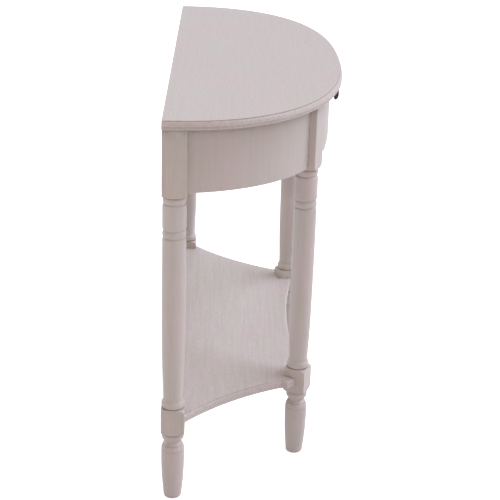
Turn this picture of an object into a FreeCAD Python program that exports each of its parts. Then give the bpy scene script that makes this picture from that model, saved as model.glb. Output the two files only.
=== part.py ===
import FreeCAD, Part
import math
import os

# A half-round side table: a moulded half-oval top on four turned legs, with bowed side aprons,
# one drawer with a bowed face, and a low shelf with hollowed edges.
# +X runs along the width, the drawer opens towards -Y, the straight edge of the top faces +Y, +Z is up.
# The origin lies on the floor, under the middle of the table's box.
# Plan points are (x, forward): forward is measured towards the front from the top's straight edge.

# Overall sizes
table_height = 750.0
top_width = 1000.0
top_depth = 330.0
top_thickness = 15.0

# Top: the curve's power (2 would be a plain half ellipse) and the moulding of its edge
top_power_share = 2.4
curve_step_share = 1 / 8
quirk_step = 1.5
quirk_inset = 4.5
roll_radius = 4.5
top_lower_arris = 1.2

# Legs: square blocks, turned between them and below
block_side = 43.0
leg_proud = 2.0
top_end_overhang = 53.5
front_leg_x = 252.5
front_leg_setback = 72.5
front_leg_turn_share = 22.0 / 360
upper_block_height = 137.0
lower_block_height = 52.0
foot_height = 137.5
pommel_radius = 10.5
pommel_ledge = 1.0
block_arris = 1.3

# Turned profiles, from the bottom up. Heights are shares of the foot or of the shaft,
# radii are shares of half the block. Two numbers end a straight stretch, four give the middle
# and the end of an arc, and more are the points of one smooth curve.
foot_turning_shares = (
    (0.000, 0.650),
    (0.008, 0.735, 0.026, 0.772),
    (0.327, 0.940, 0.728, 0.990),
    (0.736, 0.962),
    (0.744, 0.984),
    (0.780, 0.950, 0.807, 0.872),
    (0.812, 0.842),
    (0.820, 0.838),
    (0.851, 0.698),
    (0.858, 0.698),
    (0.906, 0.900),
    (0.918, 0.937, 0.938, 0.946),
    (0.992, 0.946),
)
shaft_turning_shares = (
    (0.0000, 0.935),
    (0.0030, 0.935),
    (0.0040, 0.978),
    (0.0100, 0.990, 0.0196, 0.990),
    (0.0260, 0.968, 0.0300, 0.915),
    (0.0355, 0.852, 0.0460, 0.826),
    (0.0750, 0.832, 0.1150, 0.856, 0.1970, 0.915, 0.3200, 0.957, 0.5150, 0.979, 0.6500, 0.975, 0.8000, 0.954),
    (0.8090, 0.932, 0.8145, 0.872),
    (0.8318, 0.952, 0.8485, 0.860),
    (0.8545, 0.930, 0.8640, 0.954),
    (0.9520, 0.950),
    (0.9610, 0.922, 0.9665, 0.846),
    (0.9825, 0.930, 0.9980, 0.890),
)

# Side aprons, bowed outwards between the blocks, and the back rail
apron_height = 131.0
apron_thickness = 18.0
apron_inset = 18.5
apron_setback = 13.5
apron_bow = 31.5
apron_arris = 1.2
back_rail_inset = 8.0

# Front rails and the drawer's face
rail_height = 20.0
lower_rail_height = 26.0
rail_face_setback = 14.0
rail_depth = 33.5
face_gap = 0.5
drawer_bow = 24.5
drawer_face_end_gap = 2.0
drawer_face_bottom = 18.0
drawer_face_top_gap = 3.0
drawer_face_arris = 1.5

# Drawer box and what it runs on
drawer_clearance = 4.7
box_thickness = 12.0
box_height = 80.0
box_run_gap = 0.4
box_rear_gap = 22.0
groove_depth = 6.0
bottom_rise = 10.0
bottom_thickness = 5.0
runner_width = 40.0
runner_height = 20.0
runner_under_drawer = 24.0
guide_gap = 1.2
guide_height = 16.0
guide_end_gap = 2.0

# Turn button on the drawer's back, which meets the upper rail when the drawer is pulled out
button_width = 18.0
button_height = 36.0
button_thickness = 12.0
button_top_gap = 7.0
button_screw_drop = 26.0
button_screw_length = 20.0

# Knob: its profile along its axis from the drawer's face, in shares of its length and of its radius
knob_length = 22.4
knob_radius = 14.5
knob_height_over_face_bottom = 55.0
knob_screw_radius = 2.0
knob_screw_grip = 10.0
knob_screw_head_radius = 4.2
knob_screw_head_height = 2.6
knob_turning_shares = (
    (0.000, 0.590),
    (0.090, 0.590),
    (0.130, 0.540, 0.140, 0.480),
    (0.270, 0.345, 0.440, 0.420),
    (0.520, 0.560, 0.600, 0.900),
    (0.680, 1.000, 0.800, 0.965),
    (0.930, 0.760, 0.985, 0.420),
    (0.996, 0.280, 1.000, 0.140),
)

# Corner blocks at the back
corner_block_reach = 48.0
corner_block_inner_share = 0.5

# Shelf
shelf_thickness = 15.0
shelf_over_block_foot = 19.5
shelf_back_inset = 4.0
shelf_side_offset = 12.0
shelf_side_hollow = 14.5
shelf_front_hollow = 19.5
shelf_front_root = 17.0
shelf_ear_width = 22.0
shelf_ear_start = 5.0
shelf_ear_end = 16.0
shelf_ear_root = 26.0
shelf_tuck = 6.0
shelf_quirk_step = 1.2
shelf_quirk_inset = 4.0
shelf_roll_radius = 3.5

# Joinery
dowel_radius = 4.0
dowel_length = 40.0
small_dowel_radius = 3.0
small_dowel_length = 30.0
dowel_end_room = 0.5
fit_clearance = 0.08
screw_radius = 2.0
screw_length = 30.0
screw_head_radius = 4.0
screw_head_depth = 2.4
apron_dowel_inset = 35.0
rail_dowel_inset = 50.0
front_rail_dowel_offset = 11.0
shelf_dowel_spread = 18.0
drawer_screw_x = 150.0
drawer_screw_inset = 22.0
rail_screw_x = 120.0
kicker_screw_inset = 45.0
cut_overrun = 20.0

# Heights and places that follow
half_block = block_side / 2
under_top = table_height - top_thickness
apron_bottom = under_top - apron_height
upper_block_bottom = under_top - upper_block_height
lower_block_top = foot_height + lower_block_height
shelf_bottom = foot_height + shelf_over_block_foot
shelf_top = shelf_bottom + shelf_thickness
front_leg_turn = math.radians(360 * front_leg_turn_share)
back_leg = (top_width / 2 - top_end_overhang - half_block, half_block - leg_proud)
front_leg = (front_leg_x, top_depth - front_leg_setback)
up = FreeCAD.Vector(0, 0, 1)


def on_block(leg, turn, out, ahead):
    """Plan point on the left leg: out from its axis to the left, ahead towards the front, both turned."""
    x = -leg[0] - out * math.cos(turn) - ahead * math.sin(turn)
    forward = leg[1] - out * math.sin(turn) + ahead * math.cos(turn)
    return (x, forward)


def on_front_block(out, ahead):
    return on_block(front_leg, front_leg_turn, out, ahead)


def on_back_block(out, ahead):
    return on_block(back_leg, 0, out, ahead)


# The front block's inner face leans: its front arris and its back arris in plan
inner_front_arris = on_front_block(-half_block, half_block)
inner_back_arris = on_front_block(-half_block, -half_block)
rail_front = inner_front_arris[1] - rail_face_setback
rail_back = rail_front - rail_depth
drawer_face_back = rail_front + face_gap
drawer_face_apex = inner_front_arris[1] + drawer_bow
knob_tip = drawer_face_apex + knob_length
back_rail_front = back_rail_inset + apron_thickness
front_reach = max(top_depth, knob_tip)
straight_edge_y = (front_reach - leg_proud) / 2

lower_rail_top = apron_bottom + lower_rail_height
upper_rail_bottom = under_top - rail_height
drawer_side_outer = -inner_back_arris[0] - drawer_clearance
drawer_side_inner = drawer_side_outer - box_thickness
box_bottom = lower_rail_top + box_run_gap
box_top = box_bottom + box_height
box_front_inner = drawer_face_back - box_thickness
box_rear = back_rail_front + box_rear_gap
box_rear_inner = box_rear + box_thickness
panel_bottom = box_bottom + bottom_rise
face_bottom = apron_bottom + drawer_face_bottom
face_top = under_top - drawer_face_top_gap
knob_z = face_bottom + knob_height_over_face_bottom
button_top = under_top - button_top_gap
button_front = box_rear_inner + button_thickness
runner_inner = drawer_side_outer - runner_under_drawer
runner_outer = runner_inner + runner_width
drawer_travel = rail_back - button_front - face_gap


def at(plan, z):
    return FreeCAD.Vector(plan[0], straight_edge_y - plan[1], z)


def flipped(plan):
    return (-plan[0], plan[1])


def along(x, forward):
    """A level direction given in plan."""
    return FreeCAD.Vector(x, -forward, 0)


def mirrored(shape):
    return shape.mirror(FreeCAD.Vector(0, 0, 0), FreeCAD.Vector(1, 0, 0))


def slab(wire, height):
    return Part.Face(wire).extrude(up * height)


def panel(x_low, x_high, forward_low, forward_high, z_low, z_high):
    """A squared board between two widths, two depths and two heights."""
    corner = at((x_low, forward_high), z_low)
    return Part.makeBox(x_high - x_low, forward_high - forward_low, z_high - z_low, corner)


def polygon(points, z):
    corners = [at(point, z) for point in points]
    return Part.makePolygon(corners + corners[:1])


def bulge_point(start, end, rise):
    """The middle of an arc that rises to the left of the way from start to end."""
    run = (end[0] - start[0], end[1] - start[1])
    length = math.hypot(run[0], run[1])
    middle = ((start[0] + end[0]) / 2, (start[1] + end[1]) / 2)
    return (middle[0] - rise * run[1] / length, middle[1] + rise * run[0] / length)


def arc_edge(start, middle, end, z):
    return Part.Arc(at(start, z), at(middle, z), at(end, z)).toShape()


def line(start, end):
    return Part.LineSegment(start, end).toShape()


def line_edge(start, end, z):
    return line(at(start, z), at(end, z))


def level_edges(shape, z, keep=None):
    """Edges of the shape that lie at one height and whose middle point passes the test, if there is one."""
    found = []
    for edge in shape.Edges:
        box = edge.BoundBox
        if abs(box.ZMin - z) < fit_clearance and abs(box.ZMax - z) < fit_clearance:
            middle = edge.valueAt((edge.FirstParameter + edge.LastParameter) / 2)
            if keep is None or keep(middle):
                found.append(edge)
    return found


def arc_from_tangent(start, tangent, end):
    """The arc that leaves start along a unit tangent and reaches end."""
    chord = end - start
    way = FreeCAD.Vector(chord)
    way.normalize()
    lean = tangent - way * tangent.dot(way)
    middle = start + chord * 0.5 + lean * (chord.Length / 2 / (1 + tangent.dot(way)))
    return Part.Arc(start, middle, end).toShape()


def tangent_arcs(points, tangents):
    """Two arcs between each two points, so that the whole chain is smooth and keeps the tangents."""
    edges = []
    for start, end, leave, arrive in zip(points, points[1:], tangents, tangents[1:]):
        chord = end - start
        bend = 2 * (1 - leave.dot(arrive))
        drive = 2 * chord.dot(leave + arrive)
        reach = (math.sqrt(drive ** 2 + 4 * bend * chord.dot(chord)) - drive) / (2 * bend)
        joint = (start + end + (leave - arrive) * reach) * 0.5
        edges.append(arc_from_tangent(start, leave, joint))
        edges.append(arc_from_tangent(end, arrive * -1, joint))
    return edges


def make_top_outline(z):
    """The half oval, a superellipse, run on straight past the back edge so that the moulding is cut clean."""
    half_width = top_width / 2
    points = []
    tangents = []
    count = round(1 / curve_step_share)
    for step in range(count + 1):
        angle = math.pi * step / count
        across = math.cos(angle)
        ahead = math.sin(angle)
        size = abs(across) ** top_power_share + ahead ** top_power_share
        across = across / size ** (1 / top_power_share)
        ahead = ahead / size ** (1 / top_power_share)
        points.append(at((half_width * across, top_depth * ahead), z))
        slope = math.copysign(abs(across) ** (top_power_share - 1), across) / half_width
        tangent = along(-abs(ahead) ** (top_power_share - 1) / top_depth, slope)
        tangent.normalize()
        tangents.append(tangent)
    past = along(0, -cut_overrun)
    edges = tangent_arcs(points, tangents)
    edges += [line(points[0] + past, points[0]), line(points[-1], points[-1] + past)]
    edges.append(line(points[-1] + past, points[0] + past))
    return Part.Wire(Part.__sortEdges__(edges))


def make_top():
    band_top = table_height - quirk_step
    band = slab(make_top_outline(under_top), top_thickness - quirk_step)
    behind_back = straight_edge_y + cut_overrun / 2

    def on_curve(point):
        return point.y < behind_back or abs(point.x) > top_width / 2 - quirk_inset

    band = band.makeFillet(roll_radius, level_edges(band, band_top, on_curve))
    band = band.makeFillet(top_lower_arris, level_edges(band, under_top, on_curve))
    cap = slab(make_top_outline(band_top - quirk_step).makeOffset2D(-quirk_inset), 2 * quirk_step)
    board = band.fuse(cap)
    low = under_top - cut_overrun
    high = table_height + cut_overrun
    behind = panel(-top_width, top_width, -2 * cut_overrun, 0, low, high)
    return board.cut(behind).removeSplitter()


def profile_edges(rows, base, height, radius):
    """Edges of a turned stretch in the XZ plane, and its first and last points."""
    def point(z_share, r_share):
        return FreeCAD.Vector(radius * r_share, 0, base + height * z_share)

    start = point(rows[0][0], rows[0][1])
    here = start
    edges = []
    for row in rows[1:]:
        points = [point(row[i], row[i + 1]) for i in range(0, len(row), 2)]
        if len(points) == 1:
            edges.append(Part.LineSegment(here, points[0]).toShape())
        elif len(points) == 2:
            edges.append(Part.Arc(here, points[0], points[1]).toShape())
        else:
            curve = Part.BSplineCurve()
            curve.interpolate([here] + points)
            edges.append(curve.toShape())
        here = points[-1]
    return edges, start, here


def pommel(z_ledge, direction):
    """The rounded shoulder where the square block begins: ledge, quarter round, and out past the corners."""
    ledge_radius = half_block - pommel_ledge
    inner = FreeCAD.Vector(ledge_radius, 0, z_ledge)
    outer = FreeCAD.Vector(ledge_radius + pommel_radius, 0, z_ledge + direction * pommel_radius)
    slant = pommel_radius * math.sqrt(1 / 2)
    middle = FreeCAD.Vector(ledge_radius + slant, 0, z_ledge + direction * (pommel_radius - slant))
    return Part.Arc(inner, middle, outer).toShape(), inner, outer


def make_leg():
    """One leg on the Z axis: everything turned, cut to the square of the blocks."""
    shaft_length = upper_block_bottom - lower_block_top
    foot, foot_start, foot_end = profile_edges(foot_turning_shares, 0, foot_height, half_block)
    shaft_rows = profile_edges(shaft_turning_shares, lower_block_top, shaft_length, half_block)
    shaft, shaft_start, shaft_end = shaft_rows
    low_arc, low_inner, low_outer = pommel(foot_height, 1)
    mid_arc, mid_inner, mid_outer = pommel(lower_block_top, -1)
    high_arc, high_inner, high_outer = pommel(upper_block_bottom, 1)
    head = FreeCAD.Vector(high_outer.x, 0, under_top)
    axis_top = FreeCAD.Vector(0, 0, under_top)
    axis_foot = FreeCAD.Vector(0, 0, 0)
    edges = [line(axis_foot, foot_start)] + foot + [line(foot_end, low_inner), low_arc]
    edges += [line(low_outer, mid_outer), mid_arc, line(mid_inner, shaft_start)] + shaft
    edges += [line(shaft_end, high_inner), high_arc]
    edges += [line(high_outer, head), line(head, axis_top), line(axis_top, axis_foot)]
    wire = Part.Wire(Part.__sortEdges__(edges))
    turned = Part.Face(wire).revolve(FreeCAD.Vector(0, 0, 0), up, 360)
    square = Part.makeBox(block_side, block_side, under_top, FreeCAD.Vector(-half_block, -half_block, 0))
    uprights = [edge for edge in square.Edges if edge.BoundBox.ZLength > top_thickness]
    return turned.common(square.makeFillet(block_arris, uprights))


def set_leg(leg_shape, plan, turn):
    placed = leg_shape.copy()
    placed.rotate(FreeCAD.Vector(0, 0, 0), up, math.degrees(turn))
    placed.translate(at(plan, 0))
    return placed


def block_column(plan, turn, z_low, z_high):
    """The plain square of a leg's block, for cutting what is fitted round it."""
    corner = FreeCAD.Vector(-half_block, -half_block, z_low)
    square = Part.makeBox(block_side, block_side, z_high - z_low, corner)
    return set_leg(square, plan, turn)


# The side apron's outer face runs from the back block's front face to the front block's outer face
apron_start = on_back_block(half_block - apron_inset, half_block)
apron_end = on_front_block(half_block, half_block - apron_setback)
apron_middle = bulge_point(apron_start, apron_end, apron_bow)
apron_circle = arc_edge(apron_start, apron_middle, apron_end, 0).Curve
apron_radius = apron_circle.Radius
apron_centre = apron_circle.Center


def apron_tangent(plan):
    """Level direction along the apron at one plan point, from back to front."""
    spoke = at(plan, 0) - apron_centre
    tangent = up.cross(spoke)
    tangent.normalize()
    return tangent


def make_side_apron():
    """A bent board: a ring about the bow's centre, eased below, then cut along the two blocks' faces."""
    base = apron_centre + up * apron_bottom
    ring = Part.makeCylinder(apron_radius, apron_height, base, up)
    ring = ring.cut(Part.makeCylinder(apron_radius - apron_thickness, apron_height, base, up))
    ring = ring.makeChamfer(apron_arris, level_edges(ring, apron_bottom))
    reach = 2 * apron_thickness
    corners = [
        (apron_start[0] - reach, apron_start[1]),
        (apron_start[0] + 2 * reach, apron_start[1]),
        on_front_block(half_block, half_block - apron_setback - 2 * reach),
        on_front_block(half_block, half_block - apron_setback + reach),
        bulge_point(apron_start, apron_end, apron_bow + 2 * reach),
    ]
    return ring.common(slab(polygon(corners, apron_bottom), apron_height))


def inner_face_x(forward):
    """Half the opening between the front blocks at one depth."""
    run = (forward - inner_back_arris[1]) / (inner_front_arris[1] - inner_back_arris[1])
    return -inner_back_arris[0] + run * (inner_back_arris[0] - inner_front_arris[0])


def make_front_rail(z_low, height):
    half = [(inner_face_x(rail_front), rail_front), (-inner_back_arris[0], inner_back_arris[1])]
    half.append((-inner_back_arris[0], rail_back))
    other = [(-x, forward) for x, forward in reversed(half)]
    return slab(polygon(half + other, z_low), height)


def make_drawer_face():
    """Flat behind and bowed in front, with ends that clear the blocks' leaning faces."""
    end = (-inner_front_arris[0], inner_front_arris[1])
    bow = arc_edge(end, (0, drawer_face_apex), flipped(end), face_bottom).Curve
    height = face_top - face_bottom
    drum = Part.makeCylinder(bow.Radius, height, bow.Center, up)
    drum = drum.makeChamfer(drawer_face_arris, level_edges(drum, face_bottom) + level_edges(drum, face_top))
    gap_x = drawer_face_end_gap / math.cos(front_leg_turn)
    ahead = drawer_face_apex + cut_overrun
    half = [(inner_face_x(ahead) - gap_x, ahead), (inner_face_x(drawer_face_back) - gap_x, drawer_face_back)]
    other = [flipped(plan) for plan in reversed(half)]
    return drum.common(slab(polygon(half + other, face_bottom), height))


def corner_block_points():
    """The corner block's points in plan: behind the leg, along the rail, and on the apron."""
    start = on_back_block(half_block - apron_inset, back_rail_front - back_leg[1])
    rail_point = (-back_leg[0] + half_block + corner_block_reach, back_rail_front)
    apron_mid = bulge_point(apron_start, apron_middle, 0)
    spoke = at(apron_mid, 0) - apron_centre
    inside = apron_radius - apron_thickness * corner_block_inner_share
    level = apron_centre + spoke * (inside / spoke.Length)
    return start, rail_point, (level.x, straight_edge_y - level.y)


def make_corner_block(back_column, apron):
    """Fills the back corner: against the rail, round the leg's block and against the apron."""
    solid = slab(polygon(corner_block_points(), upper_rail_bottom), rail_height)
    return solid.cut(back_column).cut(apron)


def corner_screw_plan():
    """The middle of what shows of the corner block, between the leg's arris, the rail and the apron."""
    start, rail_point, apron_point = corner_block_points()
    points = [on_back_block(-half_block, half_block), rail_point, apron_point]
    return tuple(sum(values) / len(points) for values in zip(*points))


def beyond(start, end, extra):
    """The point that lies past the end of a line by some extra length."""
    share = extra / math.dist(start, end)
    return (end[0] + share * (end[0] - start[0]), end[1] + share * (end[1] - start[1]))


def half_shelf_edges(turn, z):
    """One half of the shelf's outline: its moulded edges run on into the blocks, where they are cut."""
    back = (-back_leg[0], shelf_back_inset)
    side_start = on_back_block(shelf_side_offset, half_block - shelf_tuck)
    ear_start = on_front_block(half_block + shelf_ear_width, shelf_ear_start - half_block)
    ear_end = on_front_block(half_block + shelf_ear_width, shelf_ear_end - half_block)
    ear_root = on_front_block(half_block, shelf_ear_root - half_block)
    front_start = on_front_block(shelf_tuck - half_block, half_block - shelf_front_root)
    middle = bulge_point(side_start, ear_start, -shelf_side_hollow)
    corners = [ear_start, ear_end, beyond(ear_end, ear_root, shelf_tuck), on_front_block(0, 0), front_start]
    edges = [line_edge(turn(back), turn(side_start), z)]
    edges.append(arc_edge(turn(side_start), turn(middle), turn(ear_start), z))
    for first, second in zip(corners, corners[1:]):
        edges.append(line_edge(turn(first), turn(second), z))
    return edges, turn(back), turn(front_start)


def make_shelf_outline(z):
    left_edges, left_back, left_front = half_shelf_edges(tuple, z)
    right_edges, right_back, right_front = half_shelf_edges(flipped, z)
    hollow_point = (0, left_front[1] - shelf_front_hollow)
    across = [arc_edge(left_front, hollow_point, right_front, z), line_edge(left_back, right_back, z)]
    return Part.Wire(Part.__sortEdges__(left_edges + right_edges + across))


def make_shelf(columns):
    band_top = shelf_top - shelf_quirk_step
    band = slab(make_shelf_outline(shelf_bottom), shelf_thickness - shelf_quirk_step)
    ahead_of_back = straight_edge_y - back_leg[1]

    def moulded(point):
        hidden = any(column.isInside(point, fit_clearance, True) for column in columns)
        return point.y < ahead_of_back and not hidden

    band = band.makeFillet(shelf_roll_radius, level_edges(band, band_top, moulded))
    inner = make_shelf_outline(band_top - shelf_quirk_step).makeOffset2D(-shelf_quirk_inset, join=2)
    cap = slab(inner, 2 * shelf_quirk_step)
    return band.cut(columns).fuse(cap.cut(columns))


def make_knob():
    edges, start, end = profile_edges(knob_turning_shares, 0, knob_length, knob_radius)
    tip = FreeCAD.Vector(0, 0, knob_length)
    seat = FreeCAD.Vector(0, 0, 0)
    edges = [line(seat, start)] + edges + [line(end, tip), line(tip, seat)]
    turned = Part.Face(Part.Wire(edges)).revolve(seat, up, 360)
    bore = Part.makeCylinder(knob_screw_radius + fit_clearance, knob_screw_grip + dowel_end_room)
    knob = turned.cut(bore)
    knob.rotate(FreeCAD.Vector(0, 0, 0), FreeCAD.Vector(1, 0, 0), 90)
    knob.translate(at((0, drawer_face_apex), knob_z))
    return knob


def make_knob_screw(grow):
    seat = at((0, box_front_inner), knob_z)
    length = drawer_face_apex - box_front_inner + knob_screw_grip
    shank = Part.makeCylinder(knob_screw_radius + grow, length + grow, seat, along(0, 1))
    head = Part.makeCylinder(knob_screw_head_radius, knob_screw_head_height, seat, along(0, -1))
    return shank.fuse(head) if grow == 0 else shank


def wood_screw(seat, direction, length, grow):
    """A countersunk screw whose head lies flush at its seat, or its hole when it is grown."""
    head = Part.makeCone(screw_head_radius + grow, screw_radius + grow, screw_head_depth, seat, direction)
    shank = Part.makeCylinder(screw_radius + grow, length + grow, seat, direction)
    return head.fuse(shank)


def dowel_at(centre, direction, radius, length):
    unit = FreeCAD.Vector(direction)
    unit.normalize()
    return Part.makeCylinder(radius, length, centre - unit * (length / 2), unit)


def dowel_pair(centre, direction, radius, length):
    """A dowel and the hole that it is glued into."""
    pin = dowel_at(centre, direction, radius, length)
    hole = dowel_at(centre, direction, radius + fit_clearance, length + 2 * dowel_end_room)
    return pin, hole


def both_sides(pair):
    return [pair, (mirrored(pair[0]), mirrored(pair[1]))]


def frame_dowel_pairs():
    """Two dowels at each end of the aprons and the back rail, one at each end of the front rails."""
    pairs = []
    apron_mid_start = (apron_start[0] + apron_thickness / 2, apron_start[1])
    apron_mid_end = on_front_block(half_block, half_block - apron_setback - apron_thickness / 2)
    for z in (apron_bottom + apron_dowel_inset, under_top - apron_dowel_inset):
        for plan in (apron_mid_start, apron_mid_end):
            pair = dowel_pair(at(plan, z), apron_tangent(plan), dowel_radius, dowel_length)
            pairs += both_sides(pair)
    inner_face = -back_leg[0] + half_block
    for z in (apron_bottom + rail_dowel_inset, under_top - rail_dowel_inset):
        plan = (inner_face, back_rail_inset + apron_thickness / 2)
        pairs += both_sides(dowel_pair(at(plan, z), along(1, 0), dowel_radius, dowel_length))
    forward = rail_front - front_rail_dowel_offset
    for z in (apron_bottom + lower_rail_height / 2, under_top - rail_height / 2):
        plan = (-inner_face_x(forward), forward)
        pairs += both_sides(dowel_pair(at(plan, z), along(1, 0), dowel_radius, dowel_length))
    return pairs


def small_dowel_pairs():
    """Two dowels from each lower block into the shelf, and one at each end of the runners and kickers."""
    pairs = []
    z = shelf_bottom + shelf_thickness / 2
    spread = shelf_dowel_spread / 2
    shelf_inner = -back_leg[0] + half_block
    middle = (shelf_back_inset + back_leg[1] + half_block) / 2
    for offset in (-spread, spread):
        plan = (shelf_inner, middle + offset)
        pairs += both_sides(dowel_pair(at(plan, z), along(1, 0), small_dowel_radius, small_dowel_length))
        plan = on_front_block(offset, -half_block)
        ahead = along(math.sin(front_leg_turn), -math.cos(front_leg_turn))
        pairs += both_sides(dowel_pair(at(plan, z), ahead, small_dowel_radius, small_dowel_length))
    x = -(runner_inner - inner_back_arris[0]) / 2
    for z in (lower_rail_top - runner_height / 2, under_top - rail_height / 2):
        for forward in (back_rail_front, rail_back):
            pair = dowel_pair(at((x, forward), z), along(0, 1), small_dowel_radius, small_dowel_length)
            pairs += both_sides(pair)
    return pairs


def top_screw_seats():
    x_kicker = (runner_inner + runner_outer) / 2
    seats = [(rail_screw_x, (rail_front + rail_back) / 2)]
    seats.append((x_kicker, back_rail_front + kicker_screw_inset))
    seats.append((x_kicker, rail_back - kicker_screw_inset))
    seats.append(flipped(corner_screw_plan()))
    return seats + [flipped(seat) for seat in seats]


def drawer_screw_seats():
    seats = []
    for x in (-drawer_screw_x, drawer_screw_x):
        for z in (box_bottom + drawer_screw_inset, box_top - drawer_screw_inset):
            seats.append(at((x, box_front_inner), z))
    return seats


def cut_all(shape, tools):
    for tool in tools:
        if shape.BoundBox.intersect(tool.BoundBox):
            shape = shape.cut(tool)
    return shape


def build_frame():
    leg = make_leg()
    columns = {}
    legs = {}
    for side, sign in (("left", -1), ("right", 1)):
        turn = sign * front_leg_turn
        back_plan = (sign * back_leg[0], back_leg[1])
        front_plan = (sign * front_leg[0], front_leg[1])
        legs["leg_back_" + side] = set_leg(leg, back_plan, 0)
        legs["leg_front_" + side] = set_leg(leg, front_plan, turn)
        columns["back_" + side] = block_column(back_plan, 0, 0, under_top)
        columns["front_" + side] = block_column(front_plan, turn, 0, under_top)
    nodes = dict(legs)
    apron = make_side_apron()
    nodes["apron_left"] = apron
    nodes["apron_right"] = mirrored(apron)
    rail_half = back_leg[0] - half_block
    back_rail = panel(-rail_half, rail_half, back_rail_inset, back_rail_front, apron_bottom, under_top)
    nodes["back_rail"] = back_rail
    nodes["front_rail_upper"] = make_front_rail(upper_rail_bottom, rail_height)
    nodes["front_rail_lower"] = make_front_rail(apron_bottom, lower_rail_height)
    corner = make_corner_block(columns["back_left"], apron)
    nodes["corner_block_left"] = corner
    nodes["corner_block_right"] = mirrored(corner)
    nodes["shelf"] = make_shelf(list(columns.values()))
    nodes["top"] = make_top()
    runner_low = lower_rail_top - runner_height
    guide_inner = drawer_side_outer + guide_gap
    guide_front = rail_back - guide_end_gap
    for side, sign in (("left", -1), ("right", 1)):
        ends = sorted((sign * runner_inner, sign * runner_outer))
        guide_ends = sorted((sign * guide_inner, sign * runner_outer))
        runner = panel(ends[0], ends[1], back_rail_front, rail_back, runner_low, lower_rail_top)
        kicker = panel(ends[0], ends[1], back_rail_front, rail_back, upper_rail_bottom, under_top)
        guide_high = lower_rail_top + guide_height
        guide = panel(guide_ends[0], guide_ends[1], back_rail_front, guide_front, lower_rail_top, guide_high)
        nodes["runner_" + side] = runner
        nodes["kicker_" + side] = kicker
        nodes["guide_" + side] = guide
    frame_pairs = frame_dowel_pairs()
    small_pairs = small_dowel_pairs()
    seats = [at(plan, upper_rail_bottom) for plan in top_screw_seats()]
    holes = [pair[1] for pair in frame_pairs + small_pairs]
    holes += [wood_screw(seat, up, screw_length, fit_clearance) for seat in seats]
    for name in nodes:
        nodes[name] = cut_all(nodes[name], holes)
    nodes["frame_dowels"] = Part.makeCompound([pair[0] for pair in frame_pairs])
    nodes["small_dowels"] = Part.makeCompound([pair[0] for pair in small_pairs])
    nodes["top_screws"] = Part.makeCompound([wood_screw(seat, up, screw_length, 0) for seat in seats])
    return nodes


def build_drawer():
    nodes = {}
    lap = drawer_side_inner + groove_depth
    inner = panel(-lap, lap, box_rear, box_rear_inner, box_bottom, box_top)
    nodes["drawer_back"] = inner
    nodes["drawer_box_front"] = panel(-lap, lap, box_front_inner, drawer_face_back, box_bottom, box_top)
    bottom_back = box_rear_inner - groove_depth
    bottom_front = box_front_inner + groove_depth
    bottom = panel(-lap, lap, bottom_back, bottom_front, panel_bottom, panel_bottom + bottom_thickness)
    sides = panel(drawer_side_inner, drawer_side_outer, box_rear, drawer_face_back, box_bottom, box_top)
    nodes["drawer_side_right"] = sides
    nodes["drawer_side_left"] = mirrored(sides)
    for name in ("drawer_side_left", "drawer_side_right"):
        nodes[name] = cut_all(nodes[name], [nodes["drawer_back"], nodes["drawer_box_front"], bottom])
    for name in ("drawer_back", "drawer_box_front"):
        nodes[name] = nodes[name].cut(bottom)
    nodes["drawer_bottom"] = bottom
    nodes["drawer_front"] = make_drawer_face()
    button_bottom = button_top - button_height
    half = button_width / 2
    nodes["stop_button"] = panel(-half, half, box_rear_inner, button_front, button_bottom, button_top)
    button_seat = at((0, button_front), button_top - button_screw_drop)
    face_seats = drawer_screw_seats()
    holes = [wood_screw(button_seat, along(0, -1), button_screw_length, fit_clearance)]
    holes += [wood_screw(seat, along(0, 1), screw_length, fit_clearance) for seat in face_seats]
    holes.append(make_knob_screw(fit_clearance))
    for name in nodes:
        nodes[name] = cut_all(nodes[name], holes)
    nodes["stop_button_screw"] = wood_screw(button_seat, along(0, -1), button_screw_length, 0)
    screws = [wood_screw(seat, along(0, 1), screw_length, 0) for seat in face_seats]
    nodes["drawer_front_screws"] = Part.makeCompound(screws)
    nodes["knob"] = make_knob()
    nodes["knob_screw"] = make_knob_screw(0)
    return nodes


os.makedirs("parts", exist_ok=True)
table = build_frame()
table.update(build_drawer())
for name, shape in table.items():
    shape.exportStep("parts/" + name + ".step")
    print(name, "solids", len(shape.Solids), "valid", shape.isValid(), "volume mm3", round(shape.Volume))
print("drawer travel", round(drawer_travel, 1))
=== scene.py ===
import math

import bmesh
import bpy
import numpy as np
from mathutils import Matrix, Vector


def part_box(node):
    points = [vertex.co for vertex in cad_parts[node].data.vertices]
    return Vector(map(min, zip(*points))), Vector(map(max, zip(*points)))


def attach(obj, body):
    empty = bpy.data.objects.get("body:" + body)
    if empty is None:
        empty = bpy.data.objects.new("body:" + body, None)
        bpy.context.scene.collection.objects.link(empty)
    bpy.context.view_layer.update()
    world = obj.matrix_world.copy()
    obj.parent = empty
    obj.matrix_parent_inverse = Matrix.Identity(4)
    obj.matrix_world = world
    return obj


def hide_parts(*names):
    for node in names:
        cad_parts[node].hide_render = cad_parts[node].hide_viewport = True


# The finished look of a half-round side table in limed wood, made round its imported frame.
# Sizes are in metres. Z is up, X runs along the width and the drawer opens towards -Y.

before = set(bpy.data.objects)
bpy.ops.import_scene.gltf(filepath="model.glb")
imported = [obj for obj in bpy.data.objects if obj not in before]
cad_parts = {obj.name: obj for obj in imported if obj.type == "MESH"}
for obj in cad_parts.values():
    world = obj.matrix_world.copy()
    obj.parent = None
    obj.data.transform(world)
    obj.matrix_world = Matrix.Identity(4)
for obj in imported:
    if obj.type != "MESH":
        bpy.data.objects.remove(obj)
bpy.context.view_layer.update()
scene = bpy.context.scene
scene.view_settings.view_transform = "Standard"

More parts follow.
